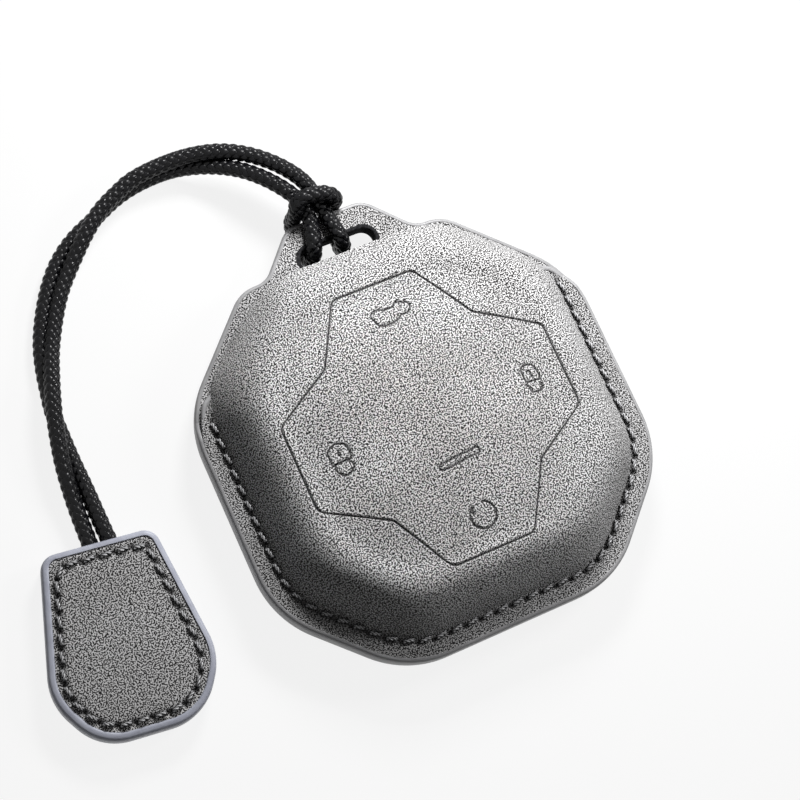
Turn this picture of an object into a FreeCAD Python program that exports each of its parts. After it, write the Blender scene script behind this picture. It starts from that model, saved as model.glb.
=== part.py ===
import FreeCAD, Part
import math
import os

Vector = FreeCAD.Vector

# A sewn leather cover for an eight-sided key fob, with a tab, a looped cord and a leather tag.
# Millimetres. The cover lies on its back: the origin is the middle of the flat back,
# +Y points to the tab and the mouth, +Z out of the moulded front.

# Layers
front_leather = 1.2
front_lining = 0.5
back_leather = 1.2
board = 0.6
inner_leather = 0.8
coat = 0.6            # edge paint, built up outside the cut edge
coat_bevel = 0.4      # bevel of the painted edge

# Back: distance of each side of the octagon from the middle
side_reach = 32.7
bottom_reach = 32.8
lower_corner_reach = 35.5
upper_corner_reach = 33.5
top_half = 17.18      # half of the top side, which carries the tab
outline_share = 0.715 # round of its corners, as a share of the shortest side
top_corner_round = 6.0  # beside the tab
least_round = 0.3     # of a corner that an inset leaves sharp
pan_depth = 3.0       # the back is a shallow pan, so the rim and the tab stand off the table
pan_rim = 6.5         # flat rim, from the sides to the pan
pan_slope = 5.0       # run of the pan's wall
pan_round = 4.0

# Tab, the web above its slot, and the slot
tab_height = 6.8
tab_root_half = 12.8
tab_top_half = 6.5
tab_root_round = 4.0
tab_top_round = 4.0
web = 4.3
slot_width = 3.5
slot_length = 12.4
slot_middle_x = -0.3

# Front: the dome falls from a flat top to the flange, or to the mouth lip on the three upper sides
flange = 3.6
dome_rise = 9.2
dome_power = 2.2      # height falls with this power of the way out
top_flat_reach = 20.4
top_flat_corner_reach = 23.2
dome_share = 0.55     # round of its corners, as a share of the back's shortest side
lip_side_inset = 1.3  # the front stops this far inside the back on its two upper diagonals
lip_overhang = 0.8    # and reaches this far over the foot of the tab
wall_inset = 0.62     # share of a layer's thickness that the steep foot of the dome moves in by
mouth_above = 2.7     # the lip starts this far above the upper corners of the sides
lip_rest = 0.3        # clearance under the ends of the lip
mouth_gape = 4.4      # extra height of the mouth over its wide middle
mouth_flat_half = 10.0
mouth_slope = 17.0    # run from the wide middle to the low ends

# Cross and bar pressed into the top, for the buttons of the key
cross_reach = 21.7
cross_arm_half = 6.7
cross_notch = 12.2
cross_round = 1.6
cross_middle = Vector(-0.7, -0.55, 0)
groove_width = 0.6
groove_depth = 0.35
bar_length = 7.2
bar_width = 1.1
bar_round = 0.5
bar_y = -7.85

# Stitches
stitch_inset = 3.1
stitch_pitch = 2.55
stitch_length = 2.0
stitch_width = 0.7
stitch_height = 0.35
seam_below = 2.3      # the seam stops this far below the upper corners of the sides

# Cord
cord = 2.5
cord_flats = 8        # flats of the cord's section
bend_step = 15.0      # largest turn, in degrees, from one section of a bend to the next
cord_clear = 0.25     # between the hitch and the tab
hitch_x = -2.3
hitch_fold = 2.2      # radius of the hitch round the web of the tab
hitch_leg_half = 2.6  # half the distance between the legs in the slot
hitch_back_half = 4.6 # and where they come over the tab
hitch_back_shift = 0.7 # the back of the hitch sits this much to the right
hitch_neck_half = 1.57
bight_half = 3.3
bight_height = 2.8    # the bight crosses this far above the strands
bight_out = 2.4       # and this far past the tab
neck_lean = -2.2      # sideways lean of the strands where they leave the hitch
neck_out = 5.0        # the strands leave the hitch this far past the tab
exit_run = 4.5        # straight run of a strand at each end

# Tag
tag_leather = 0.9
tag_top_half = 7.7
tag_wide_half = 11.9
tag_wide_at = 20.6
tag_bottom_half = 7.6
tag_length = 28.6
tag_top_round = 2.2
tag_wide_round = 9.0
tag_bottom_round = 8.0
tag_stitch_inset = 1.9
tag_groove_clear = 0.2
tag_place = Vector(-51.5, 2.7, 0)
tag_turn = -7.0
tag_cord_x = 0.4
tag_cord_spacing = 2.8
tag_cord_depth = 8.0
tag_cord_clear = 0.1

# Sides of the octagon, and the rounds that follow
top_reach = upper_corner_reach * math.sqrt(2) - top_half
lower_side = (side_reach + bottom_reach) * math.sqrt(2) - 2 * lower_corner_reach
upper_side = (side_reach + top_reach) * math.sqrt(2) - 2 * upper_corner_reach
right_side = (lower_corner_reach + upper_corner_reach) * math.sqrt(2) - 2 * side_reach
bottom_side = 2 * (lower_corner_reach * math.sqrt(2) - bottom_reach)
shortest_side = min(lower_side, upper_side, right_side, bottom_side)
outline_round = outline_share * shortest_side
dome_round = dome_share * shortest_side

# Heights and places that follow
back_stack = back_leather + board + inner_leather
rim_top = pan_depth + back_stack
flange_top = rim_top + front_leather
front_upper_reach = upper_corner_reach - lip_side_inset
front_top_reach = top_reach + lip_overhang
upper_corner_y = upper_corner_reach * math.sqrt(2) - side_reach
mouth_start = upper_corner_y + mouth_above
seam_end = upper_corner_y - seam_below
tab_reach = top_reach + tab_height
slot_top = tab_reach - web
slot_bottom = slot_top - slot_width

# Section of the cord: a polygon with the area of the round cord
cord_step = 2 * math.pi / cord_flats
cord_corner = cord / 2 * math.sqrt(cord_step / math.sin(cord_step))
cord_flat = cord_corner * math.cos(cord_step / 2)
tag_core_thickness = 2 * cord_flat
tag_height = 2 * tag_leather + tag_core_thickness
tag_cord_height = tag_leather + tag_core_thickness / 2


def tangent_arc(before, corner, after, radius):
    """Start, middle and end of the arc of that radius that rounds a corner."""
    back = (before - corner).normalize()
    ahead = (after - corner).normalize()
    half = back.getAngle(ahead) / 2
    inward = (back + ahead).normalize()
    trim = radius / math.tan(half)
    middle = corner + inward * (radius / math.sin(half) - radius)
    return corner + back * trim, middle, corner + ahead * trim


def rounded_wire(points, radii, closed):
    """Straight runs joined by tangent arcs. An open wire keeps its end points."""
    count = len(points)
    arcs = []
    for i in range(count):
        if closed or 0 < i < count - 1:
            arcs.append(tangent_arc(points[i - 1], points[i], points[(i + 1) % count], radii[i]))
        else:
            arcs.append((points[i], None, points[i]))
    edges = []
    for i, (start, middle, end) in enumerate(arcs):
        if middle is not None:
            edges.append(Part.Arc(start, middle, end).toShape())
        if closed or i < count - 1:
            edges.append(Part.LineSegment(end, arcs[(i + 1) % count][0]).toShape())
    return Part.Wire(edges)


def inset_outline(corners, inset, height):
    """Closed wire of an outline of (x, y, radius) corners, moved in by inset, at a height."""
    points = []
    radii = []
    count = len(corners)
    for i, (x, y, radius) in enumerate(corners):
        here = Vector(x, y, height)
        before = Vector(corners[i - 1][0], corners[i - 1][1], height)
        after = Vector(corners[(i + 1) % count][0], corners[(i + 1) % count][1], height)
        along = (here - before).normalize()
        onward = (after - here).normalize()
        normal = Vector(-along.y, along.x, 0)
        next_normal = Vector(-onward.y, onward.x, 0)
        points.append(here + (normal + next_normal) * (inset / (1 + normal.dot(next_normal))))
        outward_corner = along.cross(onward).z > 0
        radii.append(max(radius - inset, least_round) if outward_corner else radius + inset)
    return rounded_wire(points, radii, True)


def octagon(reaches, radius):
    """Corners of an octagon whose sides lie at these distances, from +X round by +Y."""
    corners = []
    for i in range(8):
        first = math.radians(45 * i)
        second = math.radians(45 * (i + 1))
        near = reaches[i]
        far = reaches[(i + 1) % 8]
        across = math.sin(second - first)
        x = (near * math.sin(second) - far * math.sin(first)) / across
        y = (far * math.cos(first) - near * math.cos(second)) / across
        corners.append((x, y, radius))
    return corners


def sides(right, upper, top, lower, bottom):
    """The eight reaches of an octagon that is alike on the left and the right."""
    return [right, upper, top, upper, right, lower, bottom, lower]


def prism(wire, height):
    return Part.Face(wire).extrude(Vector(0, 0, height))


def closed_solid(faces):
    solid = Part.makeSolid(Part.makeShell(faces))
    if solid.Volume < 0:
        solid.reverse()
    return solid


def banded_solid(wires):
    """Solid through level outlines with equal corner rounds: flat bands on the sides, drawn-out arcs between."""
    faces = [Part.Face(wires[0]), Part.Face(wires[-1])]
    for lower, upper in zip(wires, wires[1:]):
        for near, far in zip(lower.Edges, upper.Edges):
            start, end = [vertex.Point for vertex in near.Vertexes]
            far_start, far_end = [vertex.Point for vertex in far.Vertexes]
            if near.Curve.TypeId == "Part::GeomLine":
                faces.append(Part.Face(Part.makePolygon([start, end, far_end, far_start, start])))
            else:
                faces.append(near.extrude(far_start - start))
    return closed_solid(faces)


def back_corners():
    """Outline of the back: the octagon, with the tab standing on its top side."""
    corners = octagon(sides(side_reach, upper_corner_reach, top_reach, lower_corner_reach, bottom_reach),
                      outline_round)
    top = [(top_half, top_reach, top_corner_round),
           (tab_root_half, top_reach, tab_root_round),
           (tab_top_half, tab_reach, tab_top_round),
           (-tab_top_half, tab_reach, tab_top_round),
           (-tab_root_half, top_reach, tab_root_round),
           (-top_half, top_reach, top_corner_round)]
    return corners[:1] + top + corners[3:]


def slot_wire(grow, height):
    """Round-ended slot of the tab, made larger by grow all round."""
    radius = slot_width / 2 + grow
    half = slot_length / 2 + grow
    middle_y = (slot_top + slot_bottom) / 2
    ends = []
    for sx in (1, -1):
        x = slot_middle_x + sx * (half - radius)
        ends.append(Part.Arc(Vector(x, middle_y - sx * radius, height),
                             Vector(x + sx * radius, middle_y, height),
                             Vector(x, middle_y + sx * radius, height)).toShape())
    upper = Part.LineSegment(ends[0].Vertexes[1].Point, ends[1].Vertexes[0].Point).toShape()
    lower = Part.LineSegment(ends[1].Vertexes[1].Point, ends[0].Vertexes[0].Point).toShape()
    return Part.Wire([ends[0], upper, ends[1], lower])


def pan_block(height):
    """Solid of the pan from its floor at that height up to the rim, with a soft foot to its wall."""
    wires = []
    for way in (0, 0.3, 1):
        share = 1 - (pan_rim + pan_slope * (1 - way)) / side_reach
        reaches = [reach * share for reach in sides(side_reach, upper_corner_reach, top_reach,
                                                    lower_corner_reach, bottom_reach)]
        rise = pan_depth * way * way * (3 - 2 * way)
        wires.append(inset_outline(octagon(reaches, pan_round), 0, height + rise))
    return banded_solid(wires)


def back_layer(start, thickness):
    """A layer of the back: a rim with the tab, and a pan, start above the underside."""
    rim = prism(inset_outline(back_corners(), coat, pan_depth + start), thickness)
    slot = prism(slot_wire(coat, pan_depth + start), thickness)
    layer = rim.fuse(pan_block(start)).cut(pan_block(start + thickness)).cut(slot)
    return layer.removeSplitter()


def dome_block(depth):
    """Solid under the front's outer face, moved in by depth."""
    foot = sides(side_reach - flange, front_upper_reach, front_top_reach,
                 lower_corner_reach - flange, bottom_reach - flange)
    flat = sides(top_flat_reach, top_flat_corner_reach, top_flat_reach,
                 top_flat_corner_reach, top_flat_reach)
    wires = []
    for way in (1, 0.8, 0.56, 0.3, 0):
        reaches = [near + (far - near) * way - wall_inset * depth * way for near, far in zip(flat, foot)]
        height = flange_top + dome_rise * (1 - way ** dome_power) - depth
        wires.append(inset_outline(octagon(reaches, dome_round), 0, height))
    return banded_solid(wires)


def mouth_block(lift):
    """What the mouth takes away from the front: the space under the lip, raised by lift."""
    low = rim_top + lip_rest + lift
    high = low + mouth_gape
    half_run = mouth_slope / 2
    half_drop = mouth_gape / 2
    angle = 2 * math.atan2(half_drop, half_run)
    radius = half_run / math.sin(angle)
    bulge_x = radius * math.sin(angle / 2)
    bulge_z = radius * (1 - math.cos(angle / 2))
    flat_end = mouth_flat_half
    low_end = mouth_flat_half + mouth_slope
    middle = mouth_flat_half + half_run
    wide = side_reach + lower_corner_reach

    def place(x, z):
        return Vector(x, mouth_start, z)

    def slope(side):
        upper = Part.Arc(place(side * flat_end, high), place(side * (flat_end + bulge_x), high - bulge_z),
                         place(side * middle, high - half_drop)).toShape()
        lower = Part.Arc(place(side * middle, high - half_drop), place(side * (low_end - bulge_x), low + bulge_z),
                         place(side * low_end, low)).toShape()
        return [upper, lower]

    straight = [(place(-wide, 0), place(wide, 0)),
                (place(wide, 0), place(wide, low)),
                (place(wide, low), place(low_end, low)),
                (place(flat_end, high), place(-flat_end, high)),
                (place(-low_end, low), place(-wide, low)),
                (place(-wide, low), place(-wide, 0))]
    edges = [Part.LineSegment(a, b).toShape() for a, b in straight]
    wire = Part.Wire(Part.__sortEdges__(edges + slope(1) + slope(-1)))
    return Part.Face(wire).extrude(Vector(0, wide, 0))


def front_shell():
    """The moulded front before its mouth is cut: a flange, and the dome over it."""
    outline = octagon(sides(side_reach - coat, front_upper_reach, front_top_reach,
                            lower_corner_reach - coat, bottom_reach - coat), outline_round - coat)
    plate = prism(inset_outline(outline, 0, rim_top), front_leather)
    return plate.fuse(dome_block(0)).cut(dome_block(front_leather)).removeSplitter()


def cross_outline(grow, height):
    """Wire of the cross, made larger by grow."""
    corners = []
    for quarter in range(4):
        turn = FreeCAD.Rotation(Vector(0, 0, 1), 90 * quarter)
        for x, y in ((cross_reach, -cross_arm_half), (cross_reach, cross_arm_half), (cross_notch, cross_notch)):
            place = cross_middle + turn.multVec(Vector(x, y, 0))
            corners.append((place.x, place.y, cross_round))
    return inset_outline(corners, -grow, height)


def bar_outline(height):
    half = bar_length / 2
    low = bar_y - bar_width / 2
    high = bar_y + bar_width / 2
    corners = [Vector(half, low, height), Vector(half, high, height),
               Vector(-half, high, height), Vector(-half, low, height)]
    return rounded_wire(corners, [bar_round] * len(corners), True)


def pressed_marks():
    """What the cross and the bar take away from the front, groove_depth deep all along."""
    tall = dome_rise + front_leather
    cross = prism(cross_outline(groove_width / 2, flange_top), tall)
    island = prism(cross_outline(-groove_width / 2, flange_top), tall)
    return cross.cut(island).fuse(prism(bar_outline(flange_top), tall)).cut(dome_block(groove_depth))


def lining_shell():
    return dome_block(front_leather).cut(dome_block(front_leather + front_lining))


def edge_coat(corners, bottom, height):
    """Painted edge round an outline, bevelled at its top and bottom."""
    outer = prism(inset_outline(corners, 0, bottom), height)
    flat = [edge for edge in outer.Edges if edge.BoundBox.ZLength < 1e-6]
    return outer.makeChamfer(coat_bevel, flat).cut(prism(inset_outline(corners, coat, bottom), height))


def half_space(limit, upper):
    """A large block on one side of the plane y = limit."""
    reach = 4 * side_reach
    start = limit if upper else limit - reach
    return Part.makeBox(2 * reach, reach, 2 * reach, Vector(-reach, start, -reach))


def rim_edge_coat():
    return edge_coat(back_corners(), pan_depth, back_stack + front_leather).common(half_space(seam_end, False))


def back_edge_coat():
    return edge_coat(back_corners(), pan_depth, back_stack).common(half_space(seam_end, True))


def slot_edge_coat():
    """Painted ring inside the slot, bevelled where the cord bends over it."""
    hole = prism(slot_wire(0, pan_depth), back_stack)
    ring = prism(slot_wire(coat, pan_depth), back_stack).cut(hole)
    inner = []
    for edge in ring.Edges:
        box = edge.BoundBox
        flat = box.ZLength < 1e-6
        if flat and box.YMin > slot_bottom - coat / 2 and box.YMax < slot_top + coat / 2:
            inner.append(edge)
    return ring.makeChamfer(coat_bevel, inner)


def stitches(path, height, up):
    """Bars of thread along a path, seated on the leather at that height, with a needle hole at each end."""
    points = path.discretize(Number=round(path.Length / stitch_pitch) + 1)
    half = stitch_width / 2
    crown = half * 0.6
    bars = []
    for start, end in zip(points, points[1:]):
        along = (end - start).normalize()
        across = Vector(-along.y, along.x, 0)
        first = (start + end) * 0.5 - along * (stitch_length / 2)
        first.z = height
        tip = Vector(0, 0, stitch_height if up else -stitch_height)
        profile = [first - across * half, first + across * half,
                   first + across * crown + tip, first - across * crown + tip]
        face = Part.Face(Part.makePolygon(profile + profile[:1]))
        bars.append(face.extrude(along * stitch_length))
    return bars


def seam_path():
    """Line of the seam, from its left end round the bottom to its right end."""
    reaches = [reach - stitch_inset for reach in sides(side_reach, upper_corner_reach, top_reach,
                                                       lower_corner_reach, bottom_reach)]
    corners = octagon(reaches, outline_round - stitch_inset)
    sewn = corners[4:8]
    points = [Vector(-reaches[0], seam_end, 0)]
    points += [Vector(x, y, 0) for x, y, radius in sewn]
    points.append(Vector(reaches[0], seam_end, 0))
    return rounded_wire(points, [outline_round - stitch_inset] * len(points), False)


def seam_thread(height, up):
    return Part.makeCompound(stitches(seam_path(), height, up))


def cord_section(centre, along, side):
    """Corners of the polygon across the cord, back to the first."""
    up = side.cross(along)
    corners = []
    for i in range(cord_flats + 1):
        angle = cord_step * (i + 0.5)
        corners.append(centre + side * (cord_corner * math.cos(angle)) + up * (cord_corner * math.sin(angle)))
    return corners


def cord_tube(name, points, largest):
    """Straight runs and bends, end to end. A bend is as large as its runs allow, up to largest if given."""
    along = (points[1] - points[0]).normalize()
    side = along.cross(Vector(0, 0, 1)).normalize()
    sections = [cord_section(points[0], along, side)]
    at = points[0]
    length = 0
    radii = []
    for before, corner, after in zip(points, points[1:], points[2:]):
        turn = along.getAngle(after - corner)
        shorter = min((corner - before).Length, (after - corner).Length)
        radius = 0.45 * shorter / math.tan(turn / 2)
        if largest:
            radius = min(radius, largest)
        start, middle, end = tangent_arc(before, corner, after, radius)
        axis = along.cross(after - corner).normalize()
        arm = along.cross(axis) * radius
        steps = math.ceil(math.degrees(turn) / bend_step)
        for i in range(steps + 1):
            spin = FreeCAD.Rotation(axis, math.degrees(turn) * i / steps)
            sections.append(cord_section(start - arm + spin.multVec(arm), spin.multVec(along), spin.multVec(side)))
        side = spin.multVec(side)
        along = spin.multVec(along)
        length += (start - at).Length + radius * turn
        radii.append(round(radius, 1))
        at = end
    sections.append(cord_section(points[-1], along, side))
    length += (points[-1] - at).Length
    faces = [Part.Face(Part.makePolygon(section)) for section in (sections[0], sections[-1])]
    for near, far in zip(sections, sections[1:]):
        for i in range(cord_flats):
            faces.append(Part.Face(Part.makePolygon([near[i], near[i + 1], far[i + 1], far[i], near[i]])))
    tube = closed_solid(faces)
    share = tube.Volume / (math.pi * cord ** 2 / 4 * length)
    print(name, "length", round(length, 1), "volume share", round(share, 3), "radii", radii)
    return tube


def hitch_side(side):
    """Half of the lark's head: neck, down the front of the web, through the slot, up behind, over to the bight."""
    front = rim_top + cord / 2 + cord_clear
    behind = pan_depth - cord / 2 - cord_clear
    in_slot = slot_top - cord / 2 - cord_clear
    over = tab_reach + cord / 2 + cord_clear
    neck = hitch_x + side * hitch_neck_half
    leg = hitch_x + side * hitch_leg_half
    middle = hitch_x + hitch_back_shift
    back = middle + side * hitch_back_half
    return [Vector(neck + neck_lean / 2, tab_reach + neck_out, front),
            Vector(neck - neck_lean / 2, tab_reach + neck_out / 8, front),
            Vector(leg, in_slot, front),
            Vector(leg, in_slot, behind),
            Vector(back, over, behind),
            Vector(back + side * cord / 8, over + cord / 12, (front + behind) / 2 + 0.8 * cord),
            Vector(middle + side * bight_half, tab_reach + bight_out, front + bight_height)]


def cord_hitch():
    left = hitch_side(-1)
    right = hitch_side(1)
    return cord_tube("hitch", left + right[::-1], hitch_fold)


def strand_start(side):
    """First two points of a strand: where it leaves the hitch, and a straight run on."""
    end, before = hitch_side(side)[:2]
    return [end, end + (end - before).normalize() * exit_run]


def tag_point(x, y, z):
    """A point of the tag's own frame, whose top edge is at y = 0, where the tag lies."""
    turn = FreeCAD.Rotation(Vector(0, 0, 1), tag_turn)
    return tag_place + turn.multVec(Vector(x, y, z))


def strand_end(side):
    """Last two points of a strand: a straight run into the tag's top edge."""
    x = tag_cord_x + side * tag_cord_spacing / 2
    return [tag_point(x, exit_run, tag_cord_height), tag_point(x, 0, tag_cord_height)]


def cord_strand_outer():
    """The strand that lies on the inner one along the arch, and on the table beside it lower down."""
    route = [Vector(-6.6, 50.4, 6.4), Vector(-11.8, 53.1, 5.3), Vector(-18.4, 54.1, 4.6),
             Vector(-25.6, 53.0, 4.2), Vector(-33.0, 50.0, 4.1), Vector(-39.7, 45.4, 3.6),
             Vector(-45.0, 39.4, 2.1), Vector(-48.4, 32.3, 1.5), Vector(-50.5, 24.6, 1.5),
             Vector(-51.6, 16.6, 1.6)]
    return cord_tube("outer strand", strand_start(1) + route + strand_end(-1), None)


def cord_strand_inner():
    """The strand that lies on the table all along the arch."""
    route = [Vector(-10.4, 49.3, 5.5), Vector(-15.4, 51.4, 3.2), Vector(-21.4, 52.0, 1.7),
             Vector(-27.8, 50.7, 1.4), Vector(-34.0, 47.4, 1.4), Vector(-39.0, 42.7, 1.4),
             Vector(-42.9, 37.0, 1.4), Vector(-45.9, 30.6, 1.4), Vector(-47.9, 23.4, 1.4),
             Vector(-48.8, 15.8, 1.6)]
    return cord_tube("inner strand", strand_start(-1) + route + strand_end(1), None)


def tag_corners():
    """Outline of the tag: a short top edge, flaring sides and a round foot."""
    right = [(tag_bottom_half, -tag_length, tag_bottom_round),
             (tag_wide_half, -tag_wide_at, tag_wide_round),
             (tag_top_half, 0, tag_top_round)]
    left = [(-x, y, radius) for x, y, radius in right[::-1]]
    return right + left


def place_tag(shape):
    shape.rotate(Vector(0, 0, 0), Vector(0, 0, 1), tag_turn)
    shape.translate(tag_place)
    return shape


def tag_layer(start, thickness):
    return prism(inset_outline(tag_corners(), coat, start), thickness)


def tag_cord_hole():
    """Space that the two cord ends take in the tag."""
    wide = tag_cord_spacing + cord + 2 * tag_cord_clear
    depth = tag_cord_depth + tag_cord_clear
    return Part.makeBox(wide, depth, tag_core_thickness,
                        Vector(tag_cord_x - wide / 2, -depth, tag_leather))


def tag_core():
    return place_tag(tag_layer(tag_leather, tag_core_thickness).cut(tag_cord_hole()))


def tag_front_leather():
    return place_tag(tag_layer(tag_leather + tag_core_thickness, tag_leather))


def tag_back_leather():
    """Back leather, with the groove that keeps its stitches off the table."""
    half = stitch_width / 2 + tag_groove_clear
    outer = prism(inset_outline(tag_corners(), tag_stitch_inset - half, 0), stitch_height)
    inner = prism(inset_outline(tag_corners(), tag_stitch_inset + half, 0), stitch_height)
    return place_tag(tag_layer(0, tag_leather).cut(outer.cut(inner)))


def tag_edge_coat():
    return place_tag(edge_coat(tag_corners(), 0, tag_height).cut(tag_cord_hole()))


def tag_thread(height, up):
    """Stitches along the tag's top edge, and from there round its foot."""
    edges = inset_outline(tag_corners(), tag_stitch_inset, 0).Edges
    top = [edge for edge in edges if edge.BoundBox.YMin > -tag_stitch_inset - least_round / 2]
    first = edges.index(top[0])
    runs = [Part.Wire(top), Part.Wire(edges[first + 1:] + edges[:first])]
    return place_tag(Part.makeCompound([bar for run in runs for bar in stitches(run, height, up)]))


def tag_cord_ends():
    """The two ends of the cord, sewn between the leathers of the tag."""
    inward = Vector(0, -1, 0)
    ends = []
    for side in (-1, 1):
        start = Vector(tag_cord_x + side * tag_cord_spacing / 2, 0, tag_cord_height)
        section = Part.Face(Part.makePolygon(cord_section(start, inward, Vector(1, 0, 0))))
        ends.append(section.extrude(inward * tag_cord_depth))
    return place_tag(Part.makeCompound(ends))


def lip_edge_coat():
    band = mouth_block(coat).cut(mouth_block(0))
    return front_shell().fuse(lining_shell()).common(band).removeSplitter()


parts = {
    "front_panel": front_shell().cut(mouth_block(coat)).cut(pressed_marks()),
    "front_lining": lining_shell().cut(mouth_block(coat)),
    "back_outer_panel": back_layer(0, back_leather),
    "back_stiffener": back_layer(back_leather, board),
    "back_inner_panel": back_layer(back_leather + board, inner_leather),
    "rim_edge_coat": rim_edge_coat(),
    "back_edge_coat": back_edge_coat(),
    "lip_edge_coat": lip_edge_coat(),
    "slot_edge_coat": slot_edge_coat(),
    "seam_needle_thread": seam_thread(flange_top, True),
    "seam_bobbin_thread": seam_thread(pan_depth, False),
    "cord_hitch": cord_hitch(),
    "cord_strand_outer": cord_strand_outer(),
    "cord_strand_inner": cord_strand_inner(),
    "tag_front_leather": tag_front_leather(),
    "tag_core": tag_core(),
    "tag_back_leather": tag_back_leather(),
    "tag_edge_coat": tag_edge_coat(),
    "tag_needle_thread": tag_thread(tag_height, True),
    "tag_bobbin_thread": tag_thread(stitch_height, False),
    "tag_cord_ends": tag_cord_ends(),
}

os.makedirs("parts", exist_ok=True)
for name, shape in parts.items():
    shape.exportStep("parts/" + name + ".step")
    print(name, "solids", len(shape.Solids), "valid", shape.isValid(), "volume", round(shape.Volume, 1))
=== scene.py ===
import bpy
import numpy as np
from mathutils import Matrix


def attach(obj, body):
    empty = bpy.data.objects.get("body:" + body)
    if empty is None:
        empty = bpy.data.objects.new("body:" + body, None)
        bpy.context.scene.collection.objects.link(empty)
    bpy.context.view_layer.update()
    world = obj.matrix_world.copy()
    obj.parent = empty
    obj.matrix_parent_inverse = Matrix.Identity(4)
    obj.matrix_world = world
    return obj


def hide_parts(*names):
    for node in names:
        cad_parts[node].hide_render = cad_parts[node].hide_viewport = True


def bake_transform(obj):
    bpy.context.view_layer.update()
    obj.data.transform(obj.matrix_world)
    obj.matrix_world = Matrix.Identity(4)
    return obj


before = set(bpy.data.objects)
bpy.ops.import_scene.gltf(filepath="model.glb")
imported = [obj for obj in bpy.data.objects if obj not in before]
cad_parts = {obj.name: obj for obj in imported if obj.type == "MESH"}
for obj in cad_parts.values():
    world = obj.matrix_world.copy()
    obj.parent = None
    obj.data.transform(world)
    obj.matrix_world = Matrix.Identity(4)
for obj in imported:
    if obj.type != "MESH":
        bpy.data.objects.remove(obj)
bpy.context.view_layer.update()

# Moulded leather key cover with a slotted tab, a hitched braided cord and a leather tag.
mm = 0.001
fullTurn = 2 * np.pi


# shader expressions

class Link:
    # a socket that takes part in expressions; each operator adds one Math node
    def __init__(self, finish, socket):
        self.finish = finish
        self.socket = socket

    def join(self, operation, first, second):
        return self.finish.add("ShaderNodeMath", {"operation": operation}, {0: first, 1: second})

    def __add__(self, other):
        return self.join("ADD", self, other)

    def __radd__(self, other):
        return self.join("ADD", other, self)

    def __sub__(self, other):
        return self.join("SUBTRACT", self, other)

    def __rsub__(self, other):
        return self.join("SUBTRACT", other, self)

    def __mul__(self, other):
        return self.join("MULTIPLY", self, other)

    def __rmul__(self, other):
        return self.join("MULTIPLY", other, self)

    def step(self, low, high):
        # smooth step from 0 at low to 1 at high
        return self.finish.add("ShaderNodeMapRange", {"interpolation_type": "SMOOTHSTEP"},
                               {"Value": self, "From Min": low, "From Max": high})


class Finish:
    # one material; what is the same all over is set on the shader's own sockets
    def __init__(self, name, **fixed):
        self.material = bpy.data.materials.new(name)
        self.material.use_nodes = True
        self.tree = self.material.node_tree
        self.shader = self.tree.nodes["Principled BSDF"]
        self.fill(self.shader, {key.replace("_", " "): value for key, value in fixed.items()})

    def fill(self, node, sockets):
        for key, value in sockets.items():
            if isinstance(value, Link):
                self.tree.links.new(value.socket, node.inputs[key])
            else:
                node.inputs[key].default_value = value

    def add(self, kind, settings, sockets, out=0):
        node = self.tree.nodes.new(kind)
        for key, value in settings.items():
            setattr(node, key, value)
        self.fill(node, sockets)
        return Link(self, node.outputs[out])

    def place(self):
        return self.add("ShaderNodeTexCoord", {}, {}, "Object")

    def field(self, name):
        return self.add("ShaderNodeAttribute", {"attribute_name": name}, {}, "Fac")

    def grain(self, place, scale, detail=2.0, rough=0.5, twist=0.0, space="3D"):
        return self.add("ShaderNodeTexNoise", {"noise_dimensions": space},
                        {"Vector": place, "Scale": scale, "Detail": detail, "Roughness": rough,
                         "Distortion": twist})

    def mix(self, share, first, second, kind="MIX"):
        return self.add("ShaderNodeMix", {"data_type": "RGBA", "blend_type": kind},
                        {0: share, 6: first, 7: second}, 2)

    def bump(self, height, depth):
        # height from 0 to 1 stands for depth metres
        sockets = {"Height": height, "Distance": depth, "Strength": 1.0}
        return self.add("ShaderNodeBump", {}, sockets, "Normal")

    def done(self, **varied):
        self.fill(self.shader, {key.replace("_", " "): value for key, value in varied.items()})
        return self.material


nubuckLook = {
    "dark": (0.02, 0.019, 0.019, 1), "light": (0.90, 0.895, 0.90, 1), "pressed": (0.012, 0.011, 0.012, 1),
    "speckScale": 4500, "otherScale": 4900, "otherTurn": 0.65, "speckRange": (0.945, 1.065),
    "patchScale": 85, "patchRange": (0.3, 0.7), "patchShade": (0.82, 0.815, 0.81, 1), "depth": 0.00004,
}
flatShadedLook = dict(nubuckLook, light=(0.74, 0.735, 0.74, 1))  # the flat leather of the tab and the tag: the same nap with its light colour darkened as painted shade


def nubuckFinish(name, look, fitted):
    # grey nap with fine dark pits and tone that drifts in patches, with painted shade darkening it in the
    # grooves, pressed lines, needle holes and along the seams; on a moulded piece the nap follows its own
    # skin field, so that it isn't stretched on the slopes
    finish = Finish(name, Roughness=0.8, Specular_IOR_Level=0.2)
    place = finish.place()
    skin = finish.add("ShaderNodeAttribute", {"attribute_name": "skin"}, {}, "Vector") if fitted else place
    turned = finish.add("ShaderNodeMapping", {}, {"Vector": skin, "Rotation": (0, 0, look["otherTurn"])})
    specks = finish.grain(skin, look["speckScale"], 0.0, space="2D")
    otherSpecks = finish.grain(turned, look["otherScale"], 0.0, space="2D")
    nap = (specks + otherSpecks).step(*look["speckRange"])
    patch = finish.grain(place, look["patchScale"], 3.0, 0.55).step(*look["patchRange"])
    colour = finish.mix(nap, look["dark"], look["light"])
    shade = finish.mix(patch, look["patchShade"], (1.0, 1.0, 1.0, 1))
    colour = finish.mix(1.0, colour, shade, "MULTIPLY")
    # painted shade: the nap is mixed towards the near-black colour as far as the mesh's field says
    colour = finish.mix(finish.field("pressed"), colour, look["pressed"])
    return finish.done(Base_Color=colour, Normal=finish.bump(nap, look["depth"]))


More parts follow.
